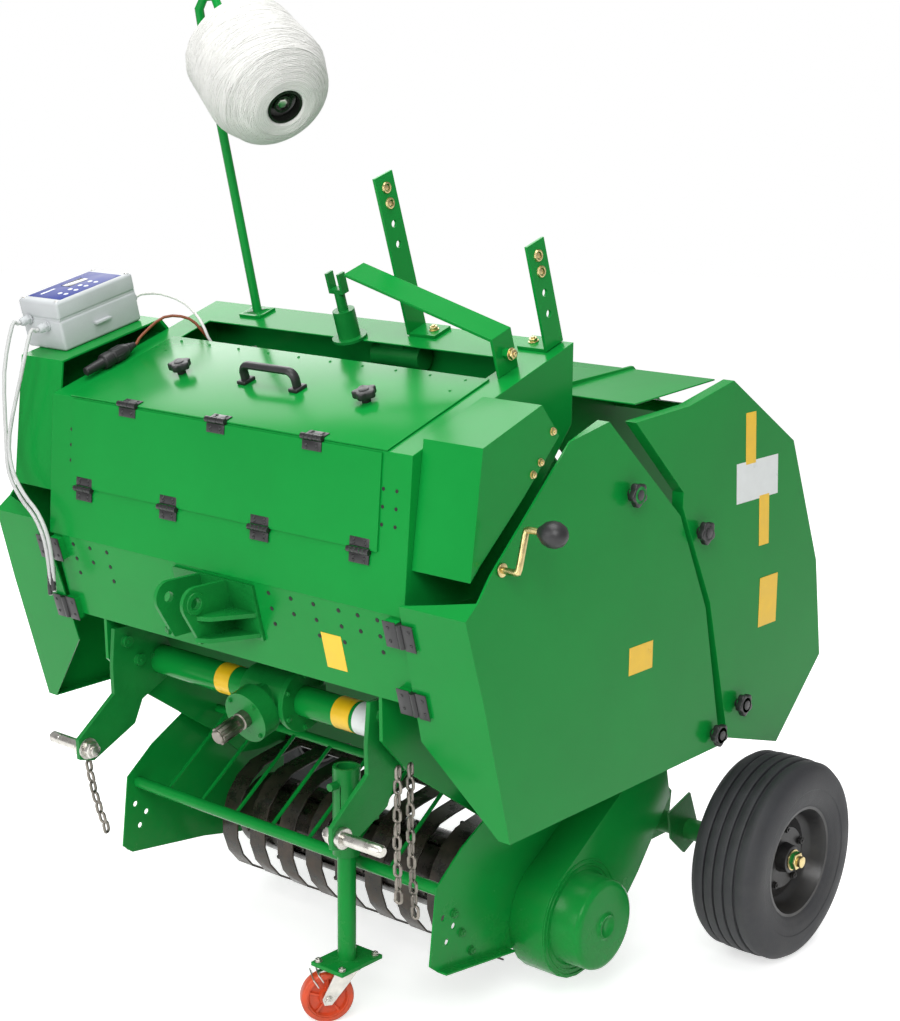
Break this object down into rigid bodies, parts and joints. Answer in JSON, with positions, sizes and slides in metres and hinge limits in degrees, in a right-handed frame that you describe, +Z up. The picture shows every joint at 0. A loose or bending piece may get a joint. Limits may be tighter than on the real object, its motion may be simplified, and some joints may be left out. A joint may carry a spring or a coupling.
{
  "type": "round baler",
  "caption": "Small towed round baler on two tyres, with a three-point hitch, pickup reel, folding covers, opening tailgate, twine spool and caster stand.",
  "frame": {"origin": "On the ground, under the middle of the overall box", "axes": "+X to the side with the drive guard, +Y away from the hitch, towards the tailgate, +Z up"},
  "size_m": [1.456, 1.2329, 1.88],
  "materials": {
    "green": "gloss",
    "light_green": "gloss",
    "dark_green": "gloss",
    "black": "satin",
    "rubber": "matte",
    "zinc": "satin",
    "orange": "satin",
    "twine": "matte",
    "grey_box": "matte",
    "cable_grey": "matte",
    "black_plastic": "matte"
  },
  "bodies": {
    "frame": {"axle_left": "green", "axle_right": "green", "cable_inner": "cable_grey", "cable_outer": "cable_grey", "control_box": "grey_box", "cover_housing": "green", "drive_tube_left": "green", "drive_tube_right": "green", "front_panel": "green", "gearbox": "green", "hitch_arm_left": "green", "hitch_arm_right": "green", "hitch_pin_left": "zinc", "hitch_pin_right": "zinc", "pickup_drive_guard": "green", "pickup_side_left": "green", "pickup_side_right": "green", "plug": "black_plastic", "plug_wires": "black_plastic", "side_box_left": "green", "side_box_right": "green", "side_plate_left": "green", "side_plate_right": "green", "spool_post": "green", "stand_sleeve": "green", "strap": "green", "stripper_bands": "dark_green", "top_link_bracket": "green", "twine_actuator": "green", "twine_motor": "green", "twine_spool": "twine", "upright_left": "green", "upright_right": "green", "white_cable": "cable_grey", "wind_guard": "green"},
    "wheel_left": {"tyre_left": "rubber", "rim_left": "dark_green"},
    "wheel_right": {"tyre_right": "rubber", "rim_right": "dark_green"},
    "stand": {"stand_leg": "green"},
    "caster": {"caster_fork": "zinc"},
    "caster_roll": {"caster_wheel": "orange"},
    "flap": {"flap": "green"},
    "lid": {"lid": "green"},
    "door_left": {"side_cover_left": "green"},
    "door_right": {"side_cover_right": "green", "crank_handle": "zinc"},
    "tailgate": {"tailgate_frame": "light_green", "tailgate_guard_left": "green", "tailgate_guard_right": "green"},
    "reel": {"pickup_reel": "black"},
    "pto": {"pto_shaft": "zinc"},
    "front_roller_1": {"front_roller_1": "dark_green"},
    "front_roller_2": {"front_roller_2": "dark_green"},
    "rear_roller_1": {"rear_roller_1": "dark_green"},
    "rear_roller_2": {"rear_roller_2": "dark_green"},
    "rear_roller_3": {"rear_roller_3": "dark_green"}
  },
  "joints": [
    {"name": "wheel_left_spin", "type": "hinge", "parent": "frame", "child": "wheel_left", "pos_m": [-0.653, 0.4005, 0.2032], "axis": [1, 0, 0], "continuous": true},
    {"name": "wheel_right_spin", "type": "hinge", "parent": "frame", "child": "wheel_right", "pos_m": [0.653, 0.4005, 0.2032], "axis": [1, 0, 0], "continuous": true},
    {"name": "stand_slide", "type": "slide", "parent": "frame", "child": "stand", "axis": [0, 0, 1], "range_m": [0, 0.12]},
    {"name": "caster_swivel", "type": "hinge", "parent": "stand", "child": "caster", "pos_m": [0.218, -0.3885, 0.1], "axis": [0, 0, 1], "continuous": true},
    {"name": "caster_spin", "type": "hinge", "parent": "caster", "child": "caster_roll", "pos_m": [0.1952, -0.4189, 0.05], "axis": [0.8, -0.6, 0], "continuous": true},
    {"name": "flap_hinge", "type": "hinge", "parent": "frame", "child": "flap", "pos_m": [0, -0.5087, 0.95], "axis": [1, 0, 0], "range_deg": [0, 90]},
    {"name": "lid_hinge", "type": "hinge", "parent": "flap", "child": "lid", "pos_m": [0, -0.495, 1.1265], "axis": [1, 0, 0], "range_deg": [0, 150]},
    {"name": "door_left_hinge", "type": "hinge", "parent": "frame", "child": "door_left", "pos_m": [-0.462, -0.4965, 0.76], "axis": [0, -0.273, 0.962], "range_deg": [0, 95]},
    {"name": "door_right_hinge", "type": "hinge", "parent": "frame", "child": "door_right", "pos_m": [0.462, -0.4965, 0.76], "axis": [0, 0.273, -0.962], "range_deg": [0, 95]},
    {"name": "tailgate_hinge", "type": "hinge", "parent": "frame", "child": "tailgate", "pos_m": [0, -0.0285, 1.15], "axis": [1, 0, 0], "range_deg": [0, 60]},
    {"name": "reel_spin", "type": "hinge", "parent": "frame", "child": "reel", "pos_m": [0, -0.0425, 0.17], "axis": [1, 0, 0], "continuous": true},
    {"name": "pto_spin", "type": "hinge", "parent": "frame", "child": "pto", "pos_m": [0, -0.3425, 0.579], "axis": [0, -0.962, -0.273], "continuous": true},
    {"name": "front_roller_1_spin", "type": "hinge", "parent": "frame", "child": "front_roller_1", "pos_m": [0, -0.1275, 0.91], "axis": [1, 0, 0], "continuous": true},
    {"name": "front_roller_2_spin", "type": "hinge", "parent": "frame", "child": "front_roller_2", "pos_m": [0, -0.0825, 0.62], "axis": [1, 0, 0], "continuous": true},
    {"name": "rear_roller_1_spin", "type": "hinge", "parent": "tailgate", "child": "rear_roller_1", "pos_m": [0, 0.3475, 1.04], "axis": [1, 0, 0], "continuous": true},
    {"name": "rear_roller_2_spin", "type": "hinge", "parent": "tailgate", "child": "rear_roller_2", "pos_m": [0, 0.4425, 0.8], "axis": [1, 0, 0], "continuous": true},
    {"name": "rear_roller_3_spin", "type": "hinge", "parent": "tailgate", "child": "rear_roller_3", "pos_m": [0, 0.3975, 0.545], "axis": [1, 0, 0], "continuous": true}
  ],
  "couplings": [
    {"joint": "front_roller_2_spin", "follows": "front_roller_1_spin", "ratio": 1},
    {"joint": "rear_roller_1_spin", "follows": "front_roller_1_spin", "ratio": 1},
    {"joint": "rear_roller_2_spin", "follows": "front_roller_1_spin", "ratio": 1},
    {"joint": "rear_roller_3_spin", "follows": "front_roller_1_spin", "ratio": 1}
  ]
}
